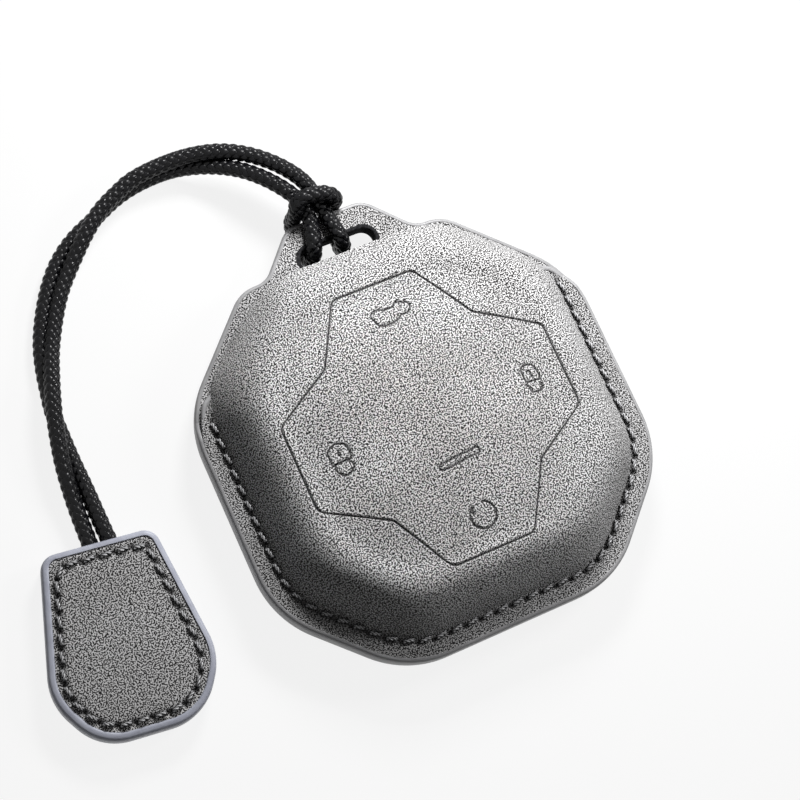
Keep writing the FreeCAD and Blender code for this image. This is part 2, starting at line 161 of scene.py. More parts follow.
paintLook = {
    "low": (0.30, 0.298, 0.305, 1), "high": (0.38, 0.378, 0.385, 1), "coatScale": 260,
    "coatRange": (0.3, 0.7), "pitScale": 2200, "rough": 0.3, "depth": 0.00008,
}
# the tag's edge paint: bluer than the cover's, and lightened as painted light on the tag's low edge
tagLitPaintLook = dict(paintLook, low=(0.42, 0.435, 0.515, 1), high=(0.53, 0.55, 0.635, 1))


def paintFinish(name, look):
    # burnished edge paint, brushed on in thin coats
    finish = Finish(name, Specular_IOR_Level=0.3, Coat_Roughness=0.25, Coat_Weight=0.1)
    place = finish.place()
    coats = finish.grain(place, look["coatScale"], 3.0, 0.55)
    pits = finish.grain(place, look["pitScale"], 2.0)
    colour = finish.mix(coats.step(*look["coatRange"]), look["low"], look["high"])
    height = coats * 0.7 + pits * 0.3
    return finish.done(Base_Color=colour, Roughness=coats * 0.2 + look["rough"],
                       Normal=finish.bump(height, look["depth"]))


yarnLook = {"paintedHighlight": (0.86, 0.86, 0.88, 1), "waxScale": 600, "depth": 0.0000012}
braidLook = dict(yarnLook, dark=(0.002, 0.002, 0.0025, 1), light=(0.008, 0.008, 0.010, 1), rough=0.26,
                 gloss=0.18, fibreScale=5200)
threadLook = dict(yarnLook, dark=(0.006, 0.006, 0.007, 1), light=(0.012, 0.012, 0.013, 1), rough=0.2,
                  gloss=0.28, fibreScale=6500)


def waxedFinish(name, look):
    # black waxed yarn: fine fibres in the light, and a painted highlight, pale along the crests of the thread
    finish = Finish(name, Specular_IOR_Level=look["gloss"])
    place = finish.place()
    fibre = finish.grain(place, look["fibreScale"], 2.0, 0.6, 0.4)
    wax = finish.grain(place, look["waxScale"], 2.0, 0.5)
    colour = finish.mix(fibre.step(0.35, 0.75), look["dark"], look["light"])
    # painted highlight: pale colour along each ply's crest
    colour = finish.mix(finish.field("crest"), colour, look["paintedHighlight"])
    rough = look["rough"] - wax.step(0.35, 0.65) * 0.12 + fibre * 0.1
    return finish.done(Base_Color=colour, Roughness=rough, Normal=finish.bump(fibre, look["depth"]))


def clothFinish(name, low, high, scale):
    # short matt pile
    finish = Finish(name, Roughness=0.95, Specular_IOR_Level=0.15)
    pile = finish.grain(finish.place(), scale, 3.0, 0.65)
    colour = finish.mix(pile.step(0.35, 0.65), low, high)
    return finish.done(Base_Color=colour, Normal=finish.bump(pile, 0.0001))


flatNubuck = nubuckFinish("flatNubuck", flatShadedLook, False)
mouldedNubuck = nubuckFinish("mouldedNubuck", nubuckLook, True)
edgePaint = paintFinish("edgePaint", paintLook)
tagLitEdgePaint = paintFinish("tagLitEdgePaint", tagLitPaintLook)
waxedBraid = waxedFinish("waxedBraid", braidLook)
waxedThread = waxedFinish("waxedThread", threadLook)
# near-black finish for the slot's painted edge: painted shade on the slot's walls
shadedSlotEdge = clothFinish("shadedSlotEdge", (0.012, 0.012, 0.013, 1), (0.035, 0.035, 0.038, 1), 1800)
pocketCloth = clothFinish("pocketCloth", (0.05, 0.05, 0.055, 1), (0.16, 0.16, 0.17, 1), 2600)
fibreBoard = clothFinish("fibreBoard", (0.20, 0.18, 0.16, 1), (0.34, 0.31, 0.28, 1), 1400)
splitLeather = clothFinish("splitLeather", (0.16, 0.15, 0.14, 1), (0.30, 0.28, 0.27, 1), 1800)
print("finishes made")


# outlines and grids

def unit(v):
    return v / np.linalg.norm(v, axis=-1, keepdims=True)


def roundCorners(corners, radii, steps=14):
    # each corner gives way to the arc of its radius that touches both of its sides
    corners = np.asarray(corners, float)
    radii = np.broadcast_to(np.asarray(radii, float), len(corners))[:, None]
    back = unit(np.roll(corners, 1, 0) - corners)
    ahead = unit(np.roll(corners, -1, 0) - corners)
    half = np.arccos(np.clip((back * ahead).sum(1, keepdims=True), -1, 1)) / 2
    middle = corners + unit(back + ahead) * radii / np.sin(half)
    first = corners + back * radii / np.tan(half) - middle
    last = corners + ahead * radii / np.tan(half) - middle
    sweep = np.arctan2(first[:, 0] * last[:, 1] - first[:, 1] * last[:, 0], (first * last).sum(1))
    turn = sweep[:, None] * np.linspace(0, 1, steps)
    x = first[:, :1] * np.cos(turn) - first[:, 1:] * np.sin(turn)
    y = first[:, :1] * np.sin(turn) + first[:, 1:] * np.cos(turn)
    return (middle[:, None] + np.stack([x, y], -1)).reshape(-1, 2)


def evenRun(line, count):
    # points at equal distances along an open line
    along = np.r_[0, np.cumsum(np.linalg.norm(np.diff(line, axis=0), axis=1))]
    at = np.linspace(0, along[-1], count)
    return np.stack([np.interp(at, along, line[:, k]) for k in range(line.shape[1])], -1)


def evenLoop(line, count):
    return evenRun(np.vstack([line, line[:1]]), count + 1)[:-1]


def insetCorners(corners, radii, inset):
    # every side moves in by inset; outer corners get tighter, inner corners wider
    corners = np.asarray(corners, float)
    along = unit(corners - np.roll(corners, 1, 0))
    onward = np.roll(along, -1, 0)
    normal = np.stack([-along[:, 1], along[:, 0]], 1)
    nextNormal = np.roll(normal, -1, 0)
    moved = corners + (normal + nextNormal) * inset / (1 + (normal * nextNormal).sum(1, keepdims=True))
    outer = along[:, 0] * onward[:, 1] - along[:, 1] * onward[:, 0] > 0
    radii = np.broadcast_to(np.asarray(radii, float), len(corners))
    return moved, np.where(outer, np.maximum(radii - inset, 0.3), radii + inset)


def octagonCorners(reaches):
    # corner i is where the sides at 45 i and 45 (i + 1) degrees meet
    near = np.asarray(reaches, float)
    far = np.roll(near, -1)
    first = np.radians(45 * np.arange(8))
    second = first + np.radians(45)
    x = near * np.sin(second) - far * np.sin(first)
    y = far * np.cos(first) - near * np.cos(second)
    return np.stack([x, y], 1) / np.sin(np.radians(45))


def eightSides(side, upper, top, lower, bottom):
    return [side, upper, top, upper, side, lower, bottom, lower]


def reachAt(line, turn, middle=(0, 0)):
    # distance from the middle to a closed outline, in each direction
    fine = evenLoop(line, 6000) - middle
    angle = np.arctan2(fine[:, 1], fine[:, 0]) % fullTurn
    order = np.argsort(angle)
    return np.interp(turn % fullTurn, angle[order], np.hypot(fine[:, 0], fine[:, 1])[order], period=fullTurn)


def smooth(t):
    t = np.clip(t, 0, 1)
    return t * t * (3 - 2 * t)


def hump(distance, width):
    return np.exp(-(distance / width) ** 2)


def gridFaces(rows, columns, wrapRows=False, wrapColumns=False, start=0):
    i = np.arange(rows if wrapRows else rows - 1)[:, None]
    j = np.arange(columns if wrapColumns else columns - 1)[None, :]
    below = (i + 1) % rows
    right = (j + 1) % columns
    quads = np.stack([i * columns + j, below * columns + j, below * columns + right, i * columns + right], -1)
    return (quads.reshape(-1, 4) + start).tolist()


def fanFaces(tip, first, columns, flip):
    j = np.arange(columns)
    fan = np.stack([np.full(columns, tip), first + j, first + (j + 1) % columns], -1)
    return (fan[:, ::-1] if flip else fan).tolist()


def ballMesh(rows, topPole, bottomPole):
    # rings from one pole to the other make a closed skin
    count, columns = rows.shape[:2]
    points = np.vstack([rows.reshape(-1, 3), topPole, bottomPole])
    faces = gridFaces(count, columns, wrapColumns=True)
    faces += fanFaces(count * columns, 0, columns, False)
    faces += fanFaces(count * columns + 1, (count - 1) * columns, columns, True)
    return points, faces


def signedVolume(points, faces):
    quads = np.array([(face[0], face[1], face[2], face[-1]) for face in faces if len(face) < 5])
    a, b, c, d = (points[quads[:, k]] for k in range(4))
    return (np.einsum("ij,ij->i", a, np.cross(b, c)) + np.einsum("ij,ij->i", a, np.cross(c, d))).sum()


def makePiece(name, points, faces, finish, slotName, closed=True, fields={}):
    if closed and signedVolume(points - points.mean(0), faces) < 0:
        faces = [face[::-1] for face in faces]
    mesh = bpy.data.meshes.new(name)
    mesh.from_pydata((points * mm).tolist(), [], faces)
    mesh.polygons.foreach_set("use_smooth", np.ones(len(faces), bool))
    mesh.set_sharp_from_angle(angle=np.radians(48))
    for key, values in fields.items():
        flat = np.asarray(values, np.float32).reshape(len(points), -1)
        kind, slot = ("FLOAT", "value") if flat.shape[1] == 1 else ("FLOAT_VECTOR", "vector")
        mesh.attributes.new(key, kind, "POINT").data.foreach_set(slot, flat.ravel())
    mesh.materials.append(finish)
    piece = bpy.data.objects.new(name, mesh)
    bpy.context.scene.collection.objects.link(piece)
    print(name, "faces", len(faces))
    return piece


def seat(piece, body, *nodes):
    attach(piece, body)
    if nodes:
        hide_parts(*nodes)


# camera, as the photograph was taken

cameraView = {"turn": (2.8329, -0.58693, 0.34103), "shift": (3.07611, 4.95517, 305.11146), "lift": 3.0,
              "focalPixels": 2000, "imagePixels": 800, "sensor": 36}


def turnMatrix(vector):
    # turn about the vector by its length
    vector = np.asarray(vector, float)
    angle = np.linalg.norm(vector)
    x, y, z = vector / angle
    skew = np.array([[0, -z, y], [z, 0, -x], [-y, x, 0]])
    return np.eye(3) + np.sin(angle) * skew + (1 - np.cos(angle)) * skew @ skew


viewTurn = turnMatrix(cameraView["turn"])
eye = -viewTurn.T @ np.array(cameraView["shift"]) + np.array([0, 0, cameraView["lift"]])
cameraData = bpy.data.cameras.new("camera")
cameraData.sensor_width = cameraView["sensor"]
cameraData.lens = cameraView["focalPixels"] * cameraView["sensor"] / cameraView["imagePixels"]
cameraData.clip_start = 0.01
camera = bpy.data.objects.new("camera", cameraData)
cameraPose = np.eye(4)
cameraPose[:3, :3] = viewTurn.T @ np.diag([1, -1, -1])
cameraPose[:3, 3] = eye * mm
camera.matrix_world = Matrix(cameraPose.tolist())
bpy.context.scene.collection.objects.link(camera)
bpy.context.scene.camera = camera
print("camera made")


# cord: one braid from the tag, along the inner strand, through the hitch and back along the outer strand

cordSizes = {
    "diameter": 2.5, "yarns": 4, "turnLength": 5.2, "samplesPerTurn": 32, "yarnHalfWidth": 0.56,
    "yarnHalfThick": 0.25, "weaveRise": 0.14, "coreRadius": 0.8, "sides": 8, "coreStep": 6,
    "weaveSink": 0.6, "aside": (0.45, -0.3, 0.84), "splitInner": 66.0, "splitOuter": 168.0,
}
innerRoute = [
    (-49.47, 0.5, 2.12), (-49.71, 2.48, 2.12), (-49.8, 6.5, 2.1), (-49.8, 11.5, 1.7), (-49.98, 16.2, 1.45),
    (-49.95, 20.6, 1.4), (-49.9, 24.0, 1.4), (-49.3, 27.25, 1.4), (-48.72, 30.4, 1.4), (-47.65, 34.2, 1.4),
    (-45.72, 38.2, 1.4), (-43.3, 42.1, 1.4), (-40.45, 45.5, 1.4), (-36.75, 48.25, 1.4), (-32.2, 50.2, 1.4),
    (-28.0, 52.2, 1.4), (-23.6, 53.15, 1.5), (-18.7, 53.1, 2.3), (-14.4, 51.7, 3.6), (-10.4, 49.3, 5.2),
    (-7.2, 46.1, 6.6), (-4.33, 42.27, 7.1),
]
hitchLeft = [
    (-2.8, 39.4, 6.8), (-2.65, 36.95, 6.75), (-4.1, 31.3, 7.0), (-4.6, 31.2, 1.5), (-4.8, 38.5, 1.4),
    (-4.5, 37.9, 7.4), (-4.2, 39.5, 9.6),
]
hitchRight = [
    (0.2, 39.0, 10.0), (2.1, 37.7, 8.6), (2.4, 38.9, 1.4), (0.9, 31.2, 1.5), (0.7, 31.2, 7.0),
    (-0.25, 36.95, 6.75), (-0.5, 39.45, 6.8),
]
outerRoute = [
    (-1.03, 42.47, 7.1), (-3.35, 46.1, 7.0), (-6.8, 49.55, 6.6), (-10.9, 52.1, 6.0), (-15.7, 53.4, 5.3),
    (-20.75, 53.65, 4.6), (-25.35, 53.15, 4.1), (-28.17, 51.96, 3.8), (-30.41, 50.89, 3.83),
    (-32.34, 49.73, 3.8), (-35.18, 47.44, 3.68), (-38.6, 44.25, 2.3), (-41.7, 40.95, 2.0),
    (-44.25, 37.0, 1.9), (-46.45, 32.9, 2.2), (-48.0, 29.0, 3.3), (-49.24, 25.52, 3.81),
    (-50.13, 22.68, 3.84), (-50.93, 19.54, 3.66), (-51.77, 15.37, 3.22), (-52.2, 10.6, 2.15),
    (-52.4, 6.5, 2.12), (-52.49, 2.82, 2.12), (-52.7, 0.9, 2.12),
]


def splinePoints(route):
    # the smooth line that the route's points control
    curve = bpy.data.curves.new("route", "CURVE")
    curve.dimensions = "3D"
    spline = curve.splines.new("NURBS")
    spline.points.add(len(route) - 1)
    spline.points.foreach_set("co", np.c_[np.array(route) * mm, np.ones(len(route))].ravel())
    spline.order_u = 3
    spline.use_endpoint_u = True
    spline.resolution_u = 24
    holder = bpy.data.objects.new("route", curve)
    bpy.context.scene.collection.objects.link(holder)
    line = bpy.data.meshes.new_from_object(holder)
    points = np.zeros(len(line.vertices) * 3)
    line.vertices.foreach_get("co", points)
    bpy.data.objects.remove(holder)
    bpy.data.meshes.remove(line)
    bpy.data.curves.remove(curve)
    return points.reshape(-1, 3) / mm


def lineFrames(line, aside):
    # two directions across a line, both square to it; the line nowhere runs along aside
    along = unit(np.gradient(line, axis=0))
    side = unit(np.cross(along, np.array(aside)))
    return side, np.cross(side, along)


def tubeFaces(rows, columns, start):
    faces = gridFaces(rows, columns, wrapColumns=True, start=start)
    faces.append(list(range(start, start + columns)))
    faces.append(list(range(start + rows * columns - 1, start + (rows - 1) * columns - 1, -1)))
    return faces


def braidMesh(line, distance, sizes):
    # Yarns run both ways round the line as helices. At distance s a yarn stands at the angle w s + its own
    # start, and its radius rises and falls as the sine of n w s, where n yarns run each way, so that it
    # goes over one yarn and under the next.
    side, up = lineFrames(line, sizes["aside"])
    pace = fullTurn * distance / sizes["turnLength"]
    ring = fullTurn * np.arange(sizes["sides"]) / sizes["sides"]
    stack = []
    faces = []
    for hand in (1, -1):
        for k in range(sizes["yarns"]):
            angle = hand * pace + fullTurn * k / sizes["yarns"] + (0 if hand > 0 else np.pi / 4)
            out = side * np.cos(angle)[:, None] + up * np.sin(angle)[:, None]
            lift = hand * sizes["weaveRise"] * np.cos(sizes["yarns"] * pace - np.pi / 2)
            level = sizes["diameter"] / 2 - sizes["yarnHalfThick"] - sizes["weaveRise"] * sizes["weaveSink"]
            radius = level + lift
            centre = line + out * radius[:, None]
            yarnAlong = unit(np.gradient(centre, axis=0))
            across = unit(np.cross(yarnAlong, out))
            skin = (centre[:, None] + across[:, None] * (sizes["yarnHalfWidth"] * np.cos(ring))[None, :, None]
                    + out[:, None] * (sizes["yarnHalfThick"] * np.sin(ring))[None, :, None])
            faces += tubeFaces(len(line), sizes["sides"], sum(len(part) for part in stack))
            stack.append(skin.reshape(-1, 3))
    every = slice(None, None, sizes["coreStep"])
    around = side[every, None] * np.cos(ring)[None, :, None] + up[every, None] * np.sin(ring)[None, :, None]
    core = line[every, None] + sizes["coreRadius"] * around
    faces += tubeFaces(len(core), sizes["sides"], sum(len(part) for part in stack))
    stack.append(core.reshape(-1, 3))
    return np.vstack(stack), faces


wholeRoute = splinePoints(innerRoute + hitchLeft + hitchRight + outerRoute)
wholeLength = np.linalg.norm(np.diff(wholeRoute, axis=0), axis=1).sum()
cordStep = cordSizes["turnLength"] / cordSizes["samplesPerTurn"]
wholeLine = evenRun(wholeRoute, int(wholeLength / cordStep) + 1)
wholeDistance = np.linspace(0, wholeLength, len(wholeLine))
cutInner = int(np.searchsorted(wholeDistance, cordSizes["splitInner"]))
cutOuter = int(np.searchsorted(wholeDistance, cordSizes["splitOuter"]))
stretches = {"innerCord": slice(0, cutInner + 1), "hitchCord": slice(cutInner, cutOuter + 1),
             "outerCord": slice(cutOuter, len(wholeLine))}
cordPieces = {}
for cordName, stretch in stretches.items():
    cordPoints, cordFaces = braidMesh(wholeLine[stretch], wholeDistance[stretch], cordSizes)
    cordPieces[cordName] = makePiece(cordName, cordPoints, cordFaces, waxedBraid, "cord")
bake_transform(cordPieces["hitchCord"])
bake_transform(cordPieces["innerCord"])
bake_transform(cordPieces["outerCord"])
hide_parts("cord_hitch")
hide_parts("cord_strand_inner")
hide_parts("cord_strand_outer")
print("cord", round(wholeLength, 1), "mm,", "inner end to hitch", cordSizes["splitInner"])


# back: two leathers with the tab, and the painted edges round them

backSizes = {
    "reaches": eightSides(32.7, 33.5, 30.2, 35.5, 32.8), "round": 15.47, "topRound": 6.0, "coat": 0.6,
    "panDepth": 3.0, "panRim": 6.5, "panSlope": 5.0, "panRound": 4.0, "tabReach": 37.0,
    "tabRootHalf": 12.8, "tabTopHalf": 6.5, "tabRound": 4.0,
    "outerLeather": 1.2, "board": 0.6, "innerLeather": 0.8, "columns": 720,
}
slotSizes = {"middle": (-0.3, 30.95), "width": 3.5, "length": 12.4, "cutPast": 0.5, "paintMiddle": 4.32,
             "paintTall": 2.68, "paintOver": 0.2}
turn = np.linspace(0, fullTurn, backSizes["columns"], endpoint=False)


def backCorners():
    corners = octagonCorners(backSizes["reaches"])
    top = backSizes["reaches"][2]
    half = backSizes["tabRootHalf"]
    tip = backSizes["tabTopHalf"]
    reach = backSizes["tabReach"]
    tab = np.array([(half, top), (tip, reach), (-tip, reach), (-half, top)])
    radii = np.full(12, backSizes["round"])
    radii[1:7] = backSizes["tabRound"]
    radii[[1, 6]] = backSizes["topRound"]
    return np.vstack([corners[:2], tab, corners[2:]]), radii


def backLine(inset):
    return roundCorners(*insetCorners(*backCorners(), inset))


def slotLine(grow, count):
    radius = slotSizes["width"] / 2 + grow
    half = slotSizes["length"] / 2 + grow
    corners = np.array([(half, radius), (-half, radius), (-half, -radius), (half, -radius)])
    return evenLoop(roundCorners(corners, radius * 0.999), count) + slotSizes["middle"]


def polar(reach, angle, height):
    x = reach * np.cos(angle)
    return np.stack([x, reach * np.sin(angle), np.broadcast_to(height, x.shape)], -1)


def panReach(inset):
    # outline of the pan, in proportion to the back's, this far inside its right side
    share = 1 - inset / backSizes["reaches"][0]
    corners = octagonCorners(np.array(backSizes["reaches"]) * share)
    return reachAt(roundCorners(corners, backSizes["panRound"]), turn)


def backSheet(name, start, thick, node):
    # rings run from the middle of the pan's floor over its wall and rim, round the edge and back underneath
    rim = reachAt(backLine(backSizes["coat"]), turn)
    panLow = panReach(backSizes["panRim"] + backSizes["panSlope"])
    panHigh = panReach(backSizes["panRim"])
    deep = backSizes["panDepth"]

    def face(z):
        rings = [polar(panLow * f, turn, z) for f in (0.25, 0.5, 0.75, 0.93)]
        for w in np.linspace(0, 1, 13):
            rings.append(polar(panLow + (panHigh - panLow) * w, turn, z + deep * smooth(w)))
        rings += [polar(panHigh + (rim - panHigh) * f, turn, z + deep) for f in (0.3, 0.65, 1)]
        return rings

    rows = np.array(face(start + thick) + face(start)[::-1])
    points, faces = ballMesh(rows, (0, 0, start + thick), (0, 0, start))
    sheet = makePiece(name, points, faces, flatNubuck, "nubuck")
    cutter = slotCutter(start + deep, thick)
    boolean = sheet.modifiers.new("slot", "BOOLEAN")
    boolean.object = cutter
    boolean.solver = "EXACT"
    graph = bpy.context.evaluated_depsgraph_get()
    cut = bpy.data.meshes.new_from_object(sheet.evaluated_get(graph))
    sheet.modifiers.clear()
    sheet.data = cut
    cut.set_sharp_from_angle(angle=np.radians(40))
    bpy.data.objects.remove(cutter)
    seat(sheet, "cover", node)


def slotCutter(low, thick):
    line = slotLine(backSizes["coat"], 96)
    count = len(line)
    past = slotSizes["cutPast"]
    rows = np.stack([np.c_[line, np.full(count, z)] for z in (low - past, low + thick + past)])
    faces = gridFaces(2, count, wrapColumns=True)
    faces += [list(range(count)), list(range(2 * count - 1, count - 1, -1))]
    return makePiece("slotCutter", rows.reshape(-1, 3), faces, flatNubuck, "nubuck")


backSheet("backLeather", 0.0, backSizes["outerLeather"], "back_outer_panel")
tabStart = backSizes["outerLeather"] + backSizes["board"]
backSheet("tabLeather", tabStart, backSizes["innerLeather"], "back_inner_panel")


def fullRound(sides, power):
    # a superellipse of half width and half height 1: cos and sin of each angle, raised to the power
    angle = fullTurn * np.arange(sides) / sides
    return [np.sign(v) * np.abs(v) ** power for v in (np.cos(angle), np.sin(angle))]


def beadMesh(path, out, tall, thick, over, closed, sides=28, power=0.55):
    # A rounded edge carried along a line: a superellipse that is tall high, thick outwards from the cut edge
    # and over inwards; each of the three may change along the line.
    across, rise = (v[None] for v in fullRound(sides, power))
    tall, thick, over = (np.broadcast_to(size, len(path))[:, None] for size in (tall, thick, over))
    points = path[:, None] + out[:, None] * np.where(across > 0, thick * across, over * across)[..., None]
    points[..., 2] += rise * tall / 2
    if closed:
        return points.reshape(-1, 3), gridFaces(len(path), sides, True, True)
    return points.reshape(-1, 3), tubeFaces(len(path), sides, 0)


def loopFrames(line, closed):
    # outward direction of a flat line that runs anticlockwise
    ahead = (np.roll(line, -1, 0) - np.roll(line, 1, 0)) if closed else np.gradient(line, axis=0)
    ahead = unit(ahead)
    return np.c_[ahead[:, 1], -ahead[:, 0], np.zeros(len(line))]


paintSizes = {"seamEnd": 12.38, "seamTop": 13.2, "lean": 0.01, "pastSeam": 1.4, "count": 900, "fall": 4.0,
              "low": 3.0, "over": 0.15, "rimHigh": 6.86, "rimEnds": 5.5, "tabHigh": 5.66}


def belowSeamTop(line, extra):
    # the seam runs a little further up on the right
    return line[:, 1] <= paintSizes["seamTop"] + paintSizes["lean"] * line[:, 0] + extra


def edgeRun(high, ends, upper, name, node):
    # the part of the back's edge above or below the ends of the seam; its top falls to ends at both ends
    low = paintSizes["low"]
    line = evenLoop(backLine(backSizes["coat"]), paintSizes["count"])
    keep = (line[:, 1] > paintSizes["seamEnd"]) if upper else belowSeamTop(line, paintSizes["pastSeam"])
    first = int(np.argmax(keep & ~np.roll(keep, 1)))
    run = np.roll(line, -first, 0)[:int(keep.sum())]
    out = loopFrames(run, False)
    step = np.linalg.norm(run[1] - run[0])
    fromEnd = step * np.minimum(np.arange(len(run)), np.arange(len(run))[::-1])
    tall = ends + (high - ends) * smooth(fromEnd / paintSizes["fall"]) - low
    middle = np.c_[run, low + tall / 2]
    points, faces = beadMesh(middle, out, tall, backSizes["coat"], paintSizes["over"], False)
    seat(makePiece(name, points, faces, edgePaint, "edge_paint"), "cover", node)


edgeRun(paintSizes["rimHigh"], paintSizes["rimEnds"], False, "rimPaint", "rim_edge_coat")
edgeRun(paintSizes["tabHigh"], paintSizes["tabHigh"], True, "tabPaint", "back_edge_coat")
slotPath = slotLine(backSizes["coat"], 120)
slotRun = np.c_[slotPath, np.full(len(slotPath), slotSizes["paintMiddle"])]
slotPoints, slotFaces = beadMesh(slotRun, -loopFrames(slotPath, True), slotSizes["paintTall"],
                                 backSizes["coat"], slotSizes["paintOver"], True)
# the slot's edge coat takes the near-black finish as painted shade
seat(makePiece("slotPaint", slotPoints, slotFaces, shadedSlotEdge, "edge_paint"), "cover", "slot_edge_coat")
print("back made")


# front: moulded leather with its cross groove and pictograms

frontSizes = {
    "foot": eightSides(29.1, 32.2, 31.4, 31.9, 29.2), "flat": eightSides(20.4, 23.2, 20.4, 23.2, 20.4),
    "rim": eightSides(32.1, 32.2, 31.0, 34.9, 32.2), "round": 11.9, "rimRound": 14.87, "flangeTop": 6.8,
    "rise": 9.2, "power": 2.2, "thick": 1.2, "lining": 0.5, "wallInset": 0.62, "mouthStart": 17.38,
    "mouthLead": 2.5, "mouthBlend": 3.0, "lipLow": 6.5, "gape": 4.4, "flatHalf": 10.0, "slope": 17.0,
    "stitchFromFoot": 0.5, "valleyDeep": 0.2, "valleyWide": 0.45, "crown": 2.0, "flangeShade": 0.22,
    "valleyShade": 0.2,
}
crossSizes = {"armHalf": 6.7, "reach": 21.7, "notch": 12.2, "middle": (-0.37, -0.16), "round": 1.6,
              "width": 0.5, "deep": 0.28, "tone": 0.92}
stitchSizes = {"pitch": 2.55, "length": 2.0, "ply": 0.24, "spread": 0.15, "twists": 1.5, "slant": 0.2,
               "arch": 0.36, "dip": 0.3, "taper": 0.35, "paintedHighlight": 0.95, "holeDeep": 0.35, "holeWide": 0.36,
               "topHeight": 6.82, "underHeight": 3.02}
# columns lie closer together over the four pictograms
nearMark = np.linspace(-14, 14, 79)[:-1]
farMark = np.linspace(14, 76, 104)[:-1]
quarters = 90 * np.arange(4)[:, None]
frontTurn = np.sort(np.radians((np.r_[nearMark, farMark][None, :] + quarters).ravel() % 360))


def crossLine():
    # a quarter of the outline, turned three times
    a, b, c = (crossSizes[key] for key in ("armHalf", "reach", "notch"))
    quarter = np.array([(a, b), (-a, b), (-c, c)])
    quarterTurn = np.array([(0, 1), (-1, 0)])
    corners = np.vstack([quarter @ np.linalg.matrix_power(quarterTurn, k) for k in range(4)])
    return roundCorners(corners, crossSizes["round"]) + crossSizes["middle"]


ringAngle = np.radians(np.linspace(126, 430, 25))
pictograms = {
    "open boot": [
        [(-3.0, 16.8), (-2.45, 17.25), (-1.6, 17.3), (-0.8, 16.85), (0.6, 16.85), (1.2, 17.35), (2.0, 17.3),
         (2.4, 16.95), (2.9, 16.9), (3.2, 16.3), (3.0, 15.7), (2.4, 15.2), (1.3, 15.25), (0.75, 14.85),
         (-0.35, 14.5), (-1.4, 14.45), (-2.15, 14.6), (-2.6, 14.9), (-3.05, 16.35), (-3.0, 16.8)],
        [(-4.0, 14.3), (-3.7, 14.15)]],
    "open lock": [
        [(14.65, -1.4), (14.45, -1.1), (14.4, -0.2), (14.45, 0.45), (14.6, 0.95), (15.25, 1.25), (16.4, 0.95),
         (16.75, 0.45), (16.9, -0.5), (16.9, -1.6), (16.2, -1.5), (14.65, -1.4)],
        [(15.2, 0.2), (15.7, 0.15), (15.7, -0.8)],
        [(14.15, -1.65), (14.65, -2.15), (14.6, -2.75), (14.75, -3.1), (15.45, -3.2), (16.3, -3.15),
         (16.65, -2.75), (16.55, -2.15)]],
    "shut lock": [
        [(-17.75, -2.05), (-17.7, -0.65), (-17.7, -0.05), (-17.45, 0.35), (-16.8, 0.7), (-16.15, 0.9),
         (-15.6, 0.7), (-15.05, 0.5), (-14.65, -0.2), (-14.6, -0.75), (-14.7, -1.9), (-15.7, -1.9),
         (-17.15, -2.0), (-17.75, -2.05)],
        [(-16.05, -0.15), (-16.25, -0.6), (-16.1, -1.0)],
        [(-17.35, -2.15), (-17.55, -2.7), (-17.35, -3.2), (-17.05, -3.6), (-16.65, -4.0), (-16.15, -4.0),
         (-15.55, -3.8), (-15.05, -3.4), (-14.75, -2.9), (-15.0, -2.45), (-15.4, -2.05)]],
    "ring": [
        np.stack([2.0 * np.cos(ringAngle) - 0.2, 2.0 * np.sin(ringAngle) - 17.0], 1),
        [(-1.4, -15.4), (-1.55, -16.5)]],
}
markSizes = {"shift": (0.31, 0.35), "half": 0.06, "soft": 0.17, "deep": 0.2, "tone": 0.9, "barHalf": 0.46,
             "bar": [(-2.8, -8.04), (3.05, -7.64)]}


def lineDistance(points, line):
    # distance from each point to the nearest straight run of a line
    line = np.asarray(line, float)
    run = line[1:] - line[:-1]
    away = points[:, None] - line[:-1]
    share = np.clip((away * run).sum(-1) / (run * run).sum(-1), 0, 1)
    return np.linalg.norm(away - share[..., None] * run, axis=-1).min(1)


def pressedMarks(points):
    # how far each point of the top is pressed in along the pictograms' lines and the outline of the bar
    lines = [line for group in pictograms.values() for line in group]
    near = np.min([lineDistance(points - markSizes["shift"], line) for line in lines], 0)
    near = np.minimum(near, np.abs(lineDistance(points, markSizes["bar"]) - markSizes["barHalf"]))
    return 1 - smooth((near - markSizes["half"]) / markSizes["soft"])


def seamRun():
    # line of the seam from its left end round the bottom to its right end
    away = frontSizes["stitchFromFoot"]
    corners = octagonCorners(np.array(frontSizes["foot"]) + away)
    line = evenLoop(roundCorners(corners, frontSizes["round"] + away), 4000)
    below = belowSeamTop(line, 0.0)
    first = int(np.argmax(below & ~np.roll(below, 1)))
    return np.roll(line, -first, 0)[:int(below.sum())]


def domeHeight(way):
    return frontSizes["flangeTop"] + frontSizes["rise"] * (1 - way ** frontSizes["power"])


def domeWay(height):
    fall = (frontSizes["flangeTop"] + frontSizes["rise"] - height) / frontSizes["rise"]
    return np.clip(fall, 0, 1) ** (1 / frontSizes["power"])


def lipHeight(x):
    way = (np.abs(x) - frontSizes["flatHalf"]) / frontSizes["slope"]
    return frontSizes["lipLow"] + frontSizes["gape"] * (1 - smooth(way))


footReach = reachAt(roundCorners(octagonCorners(frontSizes["foot"]), frontSizes["round"]), frontTurn)
flatReach = reachAt(roundCorners(octagonCorners(frontSizes["flat"]), frontSizes["round"]), frontTurn)
rimReach = reachAt(roundCorners(octagonCorners(frontSizes["rim"]), frontSizes["rimRound"]), frontTurn)
rimReach = np.maximum(rimReach, footReach)
crossReach = reachAt(crossLine(), frontTurn)
mouthWay = footReach * np.sin(frontTurn) - frontSizes["mouthStart"] + frontSizes["mouthLead"]
mouthShare = smooth(mouthWay / frontSizes["mouthBlend"])


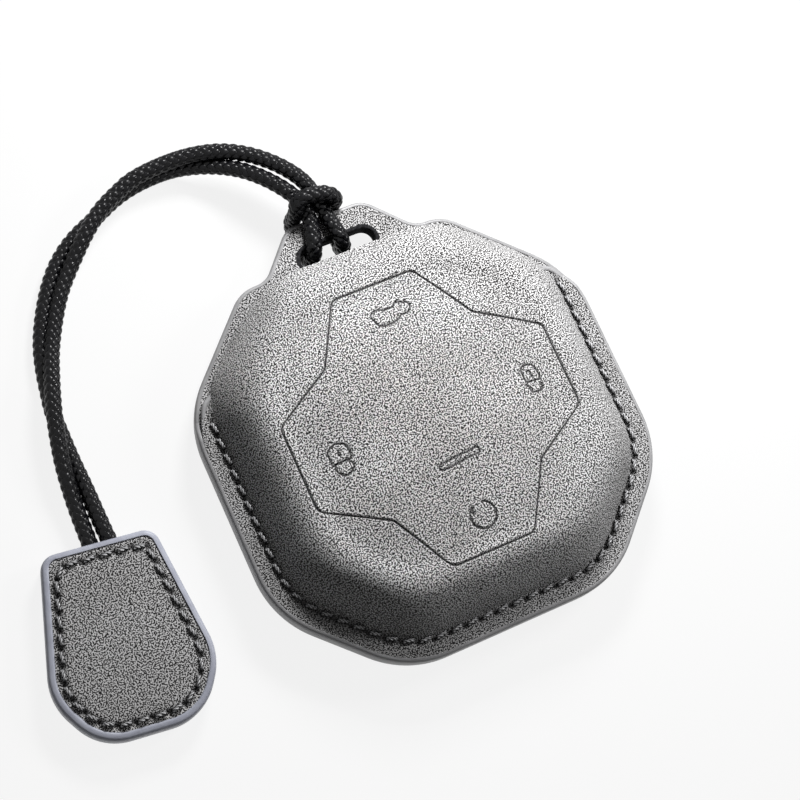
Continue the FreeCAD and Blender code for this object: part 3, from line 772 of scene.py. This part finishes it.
def domeEnd(depth):
    # way out, from 0 on the flat top to 1 at the foot, at which the lip cuts a layer off
    way = np.ones_like(frontTurn)
    for repeat in range(8):
        reach = flatReach + (footReach - flatReach - frontSizes["wallInset"] * depth) * way
        lip = np.maximum(lipHeight(reach * np.cos(frontTurn)), frontSizes["flangeTop"] - depth)
        way = domeWay(lip + depth)
    return 1 + (way - 1) * mouthShare


def crownFall(reach, way):
    # the top sinks a little from its middle to the edge of the flat, and the fall fades out towards the foot
    return frontSizes["crown"] * np.minimum(reach / flatReach, 1) ** 2 * (1 - way)


def domeRing(way, depth):
    reach = flatReach + (footReach - flatReach - frontSizes["wallInset"] * depth) * way
    return reach, domeHeight(way) - depth - crownFall(reach, way)


def heightAt(reach):
    # height of the front's outer face at a distance from the middle, in each direction
    way = np.clip((reach - flatReach) / (footReach - flatReach), 0, 1)
    return domeHeight(way) - crownFall(reach, way)


def ringPoints(reach, height):
    return polar(reach, frontTurn, height)


def frontSkin():
    # rings from the middle out to the cross groove, over the dome, along the flange, round the edge and
    # back inside; skin is each point's way from the middle along the surface, laid flat
    top = frontSizes["flangeTop"] + frontSizes["rise"]
    groove = crossSizes["width"] / 2
    footR, footZ = domeRing(domeEnd(0), 0)
    shares = np.r_[np.linspace(0.06, 0.27, 5), np.linspace(0.305, 0.485, 19), np.linspace(0.52, 0.62, 4),
                   np.linspace(0.645, 0.875, 39), 0.90, 0.94, 0.965]
    rings = [(crossReach * f, heightAt(crossReach * f)) for f in shares]
    offsets = np.array([-1.5, -1.1, -0.85, -0.6, -0.4, -0.15, 0.15, 0.4, 0.6, 0.85, 1.1, 1.5])
    grooveSunk = 1 - smooth((np.abs(offsets) - 0.2) / 0.9)
    for offset, sunk in zip(offsets, grooveSunk):
        reach = crossReach + groove * offset
        rings.append((reach, heightAt(reach) - crossSizes["deep"] * sunk))
    outer = crossReach + groove * offsets[-1]
    wayOut = np.linspace(0, 1, 26)[1:] ** 0.85
    rings += [(outer + (footR - outer) * w, heightAt(outer + (footR - outer) * w)) for w in wayOut]
    inEnd = domeEnd(frontSizes["thick"])
    inR, inZ = domeRing(inEnd, frontSizes["thick"])
    corners = []
    for sewnR, sewnZ, way in ((rimReach, frontSizes["flangeTop"], 0.4),
                              (rimReach, frontSizes["flangeTop"] - frontSizes["thick"], 0.6)):
        lipR = footR + (inR - footR) * way
        lipZ = footZ + (inZ - footZ) * way
        corners.append((sewnR + (lipR - sewnR) * mouthShare, sewnZ + (lipZ - sewnZ) * mouthShare))
    (edgeR, edgeZ), (underR, underZ) = corners
    fromFoot = np.linspace(0, 1, 17)[1:]
    rings += [(footR + (edgeR - footR) * f, footZ + (edgeZ - footZ) * f) for f in fromFoot]
    rings += [(edgeR + (underR - edgeR) * f, edgeZ + (underZ - edgeZ) * f) for f in (0.5, 1)]
    rings += [(underR + (inR - underR) * f, underZ + (inZ - underZ) * f) for f in (0.5, 1)]
    rings += [domeRing(inEnd * w, frontSizes["thick"]) for w in np.linspace(0.88, 0, 6)]
    rings += [(flatReach * f, top - frontSizes["thick"] - crownFall(flatReach * f, 0)) for f in (0.7, 0.35)]
    rows = np.array([ringPoints(np.asarray(r), z) for r, z in rings])
    middle = np.broadcast_to([0, 0, top], rows[:1].shape)
    steps = np.linalg.norm(np.diff(rows, axis=0, prepend=middle), axis=-1)
    skin = ringPoints(np.cumsum(steps, 0), 0.0) * mm
    tone = np.zeros(rows.shape[:2])
    inside = len(shares)
    sunk = pressedMarks(rows[:inside, :, :2].reshape(-1, 2)).reshape(inside, -1)
    rows[:inside, :, 2] -= markSizes["deep"] * sunk
    # painted shade in the pressed lines of the pictograms and along the bar's outline
    tone[:inside] = markSizes["tone"] * sunk
    grooveEnd = inside + len(offsets)
    # painted shade down the middle of the cross groove
    tone[inside:grooveEnd] = crossSizes["tone"] * (1 - smooth((np.abs(offsets) - 0.25) / 0.5))[:, None]
    flangeStart = grooveEnd + len(wayOut)
    flange = slice(flangeStart, flangeStart + len(fromFoot))
    fromStitch = (edgeR - footR)[None] * fromFoot[:, None] - frontSizes["stitchFromFoot"]
    valley = (1 - mouthShare)[None] * hump(fromStitch, frontSizes["valleyWide"])
    holes = needleHoles(rows[flange, :, :2].reshape(-1, 2)).reshape(len(fromFoot), -1)
    rows[flange, :, 2] -= frontSizes["valleyDeep"] * valley + stitchSizes["holeDeep"] * holes
    # painted shade over the flange, deeper in the valley by the seam and in the needle holes
    shade = frontSizes["flangeShade"] + frontSizes["valleyShade"] * valley
    tone[flange] = np.maximum(shade * (1 - mouthShare), holes)
    return rows, tone, skin, top, ringPoints(edgeR, edgeZ), ringPoints(underR, underZ)


def needleHoles(points):
    # 1 at the middle of a needle hole of the seam, 0 away from it
    away = np.linalg.norm(points[:, None] - seamHoles[None], axis=-1).min(1)
    return hump(away, stitchSizes["holeWide"])


seamLine = seamRun()
seamLength = np.linalg.norm(np.diff(seamLine, axis=0), axis=1).sum()
seamHoles = evenRun(seamLine, round(seamLength / stitchSizes["pitch"]) + 1)
frontRows, frontTone, frontFlat, frontTop, lipTop, lipUnder = frontSkin()
frontPoints, frontFaces = ballMesh(frontRows, (0, 0, frontTop), (0, 0, frontTop - frontSizes["thick"]))
frontFields = {"pressed": np.r_[frontTone.ravel(), 0, 0],
               "skin": np.vstack([frontFlat.reshape(-1, 3), np.zeros((2, 3))])}
seat(makePiece("frontLeather", frontPoints, frontFaces, mouldedNubuck, "nubuck", fields=frontFields),
     "cover", "front_panel")


def liningSkin():
    # the same rings, one leather further in and one lining thick
    layers = []
    for depth, ways in ((frontSizes["thick"] + 0.01, np.linspace(0, 1, 14)),
                        (frontSizes["thick"] + frontSizes["lining"], np.linspace(1, 0, 14))):
        end = domeEnd(depth)
        flat = frontTop - depth
        inside = [(flatReach * f, flat - crownFall(flatReach * f, 0)) for f in (0.35, 0.7)]
        dome = [domeRing(end * w, depth) for w in ways]
        layers += inside + dome if ways[0] == 0 else dome + inside[::-1]
    return np.array([ringPoints(np.asarray(r), z) for r, z in layers])


liningRows = liningSkin()
liningPoints, liningFaces = ballMesh(liningRows, (0, 0, frontTop - frontSizes["thick"] - 0.01),
                                     (0, 0, frontTop - frontSizes["thick"] - frontSizes["lining"]))
seat(makePiece("pocketLining", liningPoints, liningFaces, pocketCloth, "lining"), "cover", "front_lining")


lipSizes = {"under": 0.42, "aside": 12.0, "sides": 16, "power": 0.6, "taper": 12, "sink": 0.2, "past": 0.06,
            "deep": 0.42}


def lipPaint():
    # a bead along the cut edge of the front, from one end of the seam over the mouth to the other
    keep = lipTop[:, 1] > paintSizes["seamEnd"]
    outer = lipTop[keep]
    inner = lipUnder[keep] + (lipUnder[keep] - lipTop[keep]) * lipSizes["under"] * mouthShare[keep, None]
    across = outer - inner
    half = np.linalg.norm(across, axis=1, keepdims=True) / 2
    side = across / (2 * half)
    middle = (outer + inner) / 2
    face = unit(np.cross(np.gradient(middle, axis=0), side))
    away = unit(np.c_[middle[:, :2], np.full(len(middle), lipSizes["aside"])])
    face = face * np.sign((face * away).sum(1, keepdims=True))
    wide, deep = (v[None, :, None] for v in fullRound(lipSizes["sides"], lipSizes["power"]))
    ends = np.arange(len(middle))
    size = smooth((np.minimum(ends, ends[::-1]) + 1) / lipSizes["taper"])[:, None, None]
    reach = wide * (half[:, None] + lipSizes["past"] * size)
    depth = deep * lipSizes["deep"] * (0.5 + 0.5 * size)
    points = middle[:, None] - face[:, None] * lipSizes["sink"]
    points = points + side[:, None] * reach + face[:, None] * depth
    rows, columns = points.shape[:2]
    return points.reshape(-1, 3), tubeFaces(rows, columns, 0)


seat(makePiece("lipPaint", *lipPaint(), edgePaint, "edge_paint"), "cover", "lip_edge_coat")
print("front made")


# thread

def stitchMesh(points, height, up, sizes):
    # each stitch is two plies twisted round a low arch that dips into a needle hole at both ends;
    # crest is 1 along the side of each ply that faces away from the leather, where the highlight is painted
    start = points[:-1]
    end = points[1:]
    along = unit(end - start)
    across = np.stack([-along[:, 1], along[:, 0]], 1)
    heading = unit(along + across * sizes["slant"])
    middle = (start + end) / 2
    t = np.linspace(-1, 1, 11)
    arch = sizes["arch"] * (1 - t ** 4) - sizes["dip"] * np.abs(t) ** 8
    axis = middle[:, None] + heading[:, None] * (t * sizes["length"] / 2)[None, :, None]
    axis = np.concatenate([axis, np.broadcast_to(height + up * arch, axis.shape[:2])[..., None]], -1)
    side = np.c_[-heading[:, 1], heading[:, 0], np.zeros(len(heading))][:, None]
    rise = np.array([0, 0, up])
    ring = fullTurn * np.arange(8) / 8
    plump = 1 - sizes["taper"] * np.abs(t) ** 5
    # painted highlight: a narrow stripe on each ply, fading towards the ends of the stitch
    paintedHighlight = np.clip(np.sin(ring), 0, 1)[None] ** 16 * (sizes["paintedHighlight"] * (1 - np.abs(t) ** 4))[:, None]
    stack = []
    faces = []
    crest = []
    for ply in (0, np.pi):
        twist = fullTurn * sizes["twists"] * t / 2 + ply
        offset = side * np.cos(twist)[None, :, None] + rise * np.sin(twist)[None, :, None]
        centre = axis + sizes["spread"] * offset
        skin = centre[:, :, None] + sizes["ply"] * plump[None, :, None, None] * (
            side[:, :, None] * np.cos(ring)[None, None, :, None] + rise * np.sin(ring)[None, None, :, None])
        for one in skin:
            faces += tubeFaces(len(t), len(ring), sum(len(part) for part in stack))
            stack.append(one.reshape(-1, 3))
            crest.append(paintedHighlight.ravel())
    return np.vstack(stack), faces, {"crest": np.concatenate(crest)}


def sewStitches(name, body, node, points, height, up, place=None):
    stitchPoints, stitchFaces, stitchFields = stitchMesh(points, height, up, stitchSizes)
    if place:
        stitchPoints = place(stitchPoints)
    seat(makePiece(name, stitchPoints, stitchFaces, waxedThread, "thread", fields=stitchFields), body, node)


sewStitches("seamStitches", "cover", "seam_needle_thread", seamHoles, stitchSizes["topHeight"], 1)
sewStitches("seamUnderStitches", "cover", "seam_bobbin_thread", seamHoles, stitchSizes["underHeight"], -1)
print("seam made,", len(seamHoles) - 1, "stitches a side")


# tag

tagSizes = {
    "corners": [(7.8, -28.3), (12.2, -20.4), (8.1, 0), (-8.4, 0), (-12.5, -20.2), (-7.3, -28.3)],
    "rounds": [8.0, 9.0, 2.2, 2.2, 9.0, 8.0], "coat": 0.6, "leather": 0.9, "height": 4.234, "turn": -7.0,
    "place": (-51.5, 2.7), "stitchInset": 1.9, "middle": (0, -15.5), "columns": 400,
    "seamPull": 0.30, "seamPullWide": 0.5, "bandFall": 0.16, "bandWide": 0.6, "edgeFall": 0.12,
    "edgeWide": 0.5, "seamShade": 0.15, "seamToneWide": 0.4, "over": 0.05, "overLeft": 0.35,
    "overBelow": 0.4, "proud": 0.3, "threadSink": 0.12, "underThread": 0.70,
}


def placeTag(points):
    # from the tag's own frame, whose top edge is at y = 0, to where the tag lies
    angle = np.radians(tagSizes["turn"])
    x = points[..., 0] * np.cos(angle) - points[..., 1] * np.sin(angle) + tagSizes["place"][0]
    y = points[..., 0] * np.sin(angle) + points[..., 1] * np.cos(angle) + tagSizes["place"][1]
    return np.concatenate([np.stack([x, y], -1), points[..., 2:]], -1)


def tagLine(inset):
    return roundCorners(*insetCorners(tagSizes["corners"], tagSizes["rounds"], inset))


def tagSheet(name, low, high, up, node):
    # rings from the middle to the edge and back; the seam pulls the outer face down along the stitches
    angle = np.linspace(0, fullTurn, tagSizes["columns"], endpoint=False)
    middle = np.array(tagSizes["middle"])
    edge = reachAt(tagLine(tagSizes["coat"]), angle, middle)
    seam = reachAt(tagLine(tagSizes["stitchInset"]), angle, middle)
    outer = [seam * f for f in (0.2, 0.4, 0.55, 0.68, 0.78)]
    outer += [seam + (edge - seam) * f for f in np.linspace(-1.4, 1, 26)]
    inner = [edge * f for f in (1, 0.6, 0.3)]
    reach = np.array(outer + inner)
    flat = np.stack([reach * np.cos(angle) + middle[0], reach * np.sin(angle) + middle[1]], -1)
    away = reach - seam
    pulled = tagSizes["seamPull"] * hump(away, tagSizes["seamPullWide"])
    pulled += tagSizes["bandFall"] * smooth(away / tagSizes["bandWide"])
    pulled += tagSizes["edgeFall"] * smooth((reach - edge + tagSizes["edgeWide"]) / tagSizes["edgeWide"])
    near = np.linalg.norm(flat.reshape(-1, 1, 2) - tagHoles[None], axis=-1).min(1).reshape(reach.shape)
    holes = hump(near, stitchSizes["holeWide"])
    sunk = pulled + stitchSizes["holeDeep"] * holes
    # painted shade along the seam's valley and in the needle holes
    tone = np.maximum(tagSizes["seamShade"] * hump(away, tagSizes["seamToneWide"]), holes)
    face, under, out = (high, low, -1) if up else (low, high, 1)
    height = face + out * sunk
    height[len(outer):] = under
    tone[len(outer):] = 0
    points, faces = ballMesh(np.concatenate([flat, height[..., None]], -1), (*middle, face), (*middle, under))
    fields = {"pressed": np.r_[tone.ravel(), 0, 0]}
    seat(makePiece(name, placeTag(points), faces, flatNubuck, "nubuck", fields=fields), "tag", node)


tagSeam = tagLine(tagSizes["stitchInset"])
tagSeamLength = np.linalg.norm(np.diff(np.vstack([tagSeam, tagSeam[:1]]), axis=0), axis=1).sum()
tagHoles = evenLoop(tagSeam, round(tagSeamLength / stitchSizes["pitch"]))
tagTop = tagSizes["height"]
tagSheet("tagLeather", tagTop - tagSizes["leather"], tagTop, True, "tag_front_leather")
tagSheet("tagBackLeather", 0.0, tagSizes["leather"], False, "tag_back_leather")
tagPath = evenLoop(tagLine(tagSizes["coat"]), 480)
tagOut = loopFrames(tagPath, True)
towardsLeft, towardsBelow = np.clip(-tagOut[:, :2], 0, 1).T
tagOver = tagSizes["over"] + tagSizes["overLeft"] * towardsLeft + tagSizes["overBelow"] * towardsBelow
tagRun = np.c_[tagPath, np.full(len(tagPath), tagTop / 2)]
tagThick = tagSizes["coat"] + tagSizes["proud"]
tagPoints, tagFaces = beadMesh(tagRun, tagOut, tagTop, tagThick, tagOver, True)
seat(makePiece("tagPaint", placeTag(tagPoints), tagFaces, tagLitEdgePaint, "edge_paint"), "tag", "tag_edge_coat")
tagStops = np.vstack([tagHoles, tagHoles[:1]])
sewStitches("tagStitches", "tag", "tag_needle_thread", tagStops, tagTop - tagSizes["threadSink"], 1, placeTag)
sewStitches("tagUnderStitches", "tag", "tag_bobbin_thread", tagStops, tagSizes["underThread"], -1, placeTag)
print("tag made")


# hidden solids keep their shape and get their own finish

hiddenFinishes = {"back_stiffener": fibreBoard, "tag_core": splitLeather, "tag_cord_ends": waxedBraid}
for nodeName, nodeFinish in hiddenFinishes.items():
    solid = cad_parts[nodeName]
    solid.data.materials.clear()
    solid.data.materials.append(nodeFinish)


# where each cord piece meets the tag or the next piece, listed; the loop only looks up each piece's stretch


cordExits = {
    "innerCord": (-0.0497, 0.0025, 0.0021), "outerCord": (-0.0525, 0.0028, 0.0021),
    "hitchCord": tuple((wholeLine[cutInner] * mm).tolist()),
}
for cordName, cordExit in cordExits.items():
    stretch = stretches[cordName]


# floor, light and background

floorLook = {"half": 3.0, "lit": (0.3, 0.3, 0.3, 1), "seen": (0.9, 0.9, 0.9, 1), "glow": 0.86}
half = floorLook["half"]
floorCorners = [(-half, -half, 0), (half, -half, 0), (half, half, 0), (-half, half, 0)]
floorMesh = bpy.data.meshes.new("floor")
floorMesh.from_pydata(floorCorners, [], [(0, 1, 2, 3)])
floor = bpy.data.objects.new("floor", floorMesh)
bpy.context.scene.collection.objects.link(floor)


def seenRay(finish):
    # 1 for rays that show the background: straight to the camera, in gloss, or through clear parts
    rays = [finish.add("ShaderNodeLightPath", {}, {}, name)
            for name in ("Is Camera Ray", "Is Glossy Ray", "Is Transmission Ray")]
    return rays[0].join("MAXIMUM", rays[0].join("MAXIMUM", rays[0], rays[1]), rays[2])


floorFinish = Finish("paleFloor", Roughness=0.9, Specular_IOR_Level=0.1)
floorSeen = floorFinish.add("ShaderNodeLightPath", {}, {}, "Is Camera Ray")
floorFinish.done(Base_Color=floorFinish.mix(floorSeen, floorLook["lit"], floorLook["seen"]))
glow = floorFinish.tree.nodes.new("ShaderNodeEmission")
blend = floorFinish.tree.nodes.new("ShaderNodeMixShader")
outputNode = floorFinish.tree.nodes["Material Output"]
floorFinish.tree.links.new((seenRay(floorFinish) * floorLook["glow"]).socket, blend.inputs[0])
floorFinish.tree.links.new(floorFinish.shader.outputs[0], blend.inputs[1])
floorFinish.tree.links.new(glow.outputs[0], blend.inputs[2])
floorFinish.tree.links.new(blend.outputs[0], outputNode.inputs[0])
floorMesh.materials.append(floorFinish.material)

world = bpy.data.worlds.new("studio")
world.use_nodes = True
bpy.context.scene.world = world
sky = Finish.__new__(Finish)  # the world's nodes take the same expressions as a material's
sky.tree = world.node_tree
skyLight = world.node_tree.nodes["Background"]
lightLevel = 0.06
sky.fill(skyLight, {"Color": (1, 1, 1, 1), "Strength": seenRay(sky) * (1 - lightLevel) + lightLevel})

lampAim = np.array([-0.01, 0.01, 0.0])
lampFacts = {
    "keyLamp": {"place": (0.0416, 0.0999, 0.102), "wide": 0.045, "tall": 0.035, "power": 0.24},
    "sideLamp": {"place": (0.1052, 0.002, 0.102), "wide": 0.045, "tall": 0.035, "power": 0.088},
}
for lampName, facts in lampFacts.items():
    lampData = bpy.data.lights.new(lampName, "AREA")
    lampData.shape = "RECTANGLE"
    lampData.size = facts["wide"]
    lampData.size_y = facts["tall"]
    lampData.energy = facts["power"]
    lamp = bpy.data.objects.new(lampName, lampData)
    aim = unit(np.array(facts["place"]) - lampAim)
    sideways = unit(np.cross([0, 0, 1], aim))
    lampPose = np.eye(4)
    lampPose[:3, :3] = np.stack([sideways, np.cross(aim, sideways), aim], 1)
    lampPose[:3, 3] = facts["place"]
    lamp.matrix_world = Matrix(lampPose.tolist())
    bpy.context.scene.collection.objects.link(lamp)
bpy.context.scene.view_settings.view_transform = "Standard"
print("studio made")
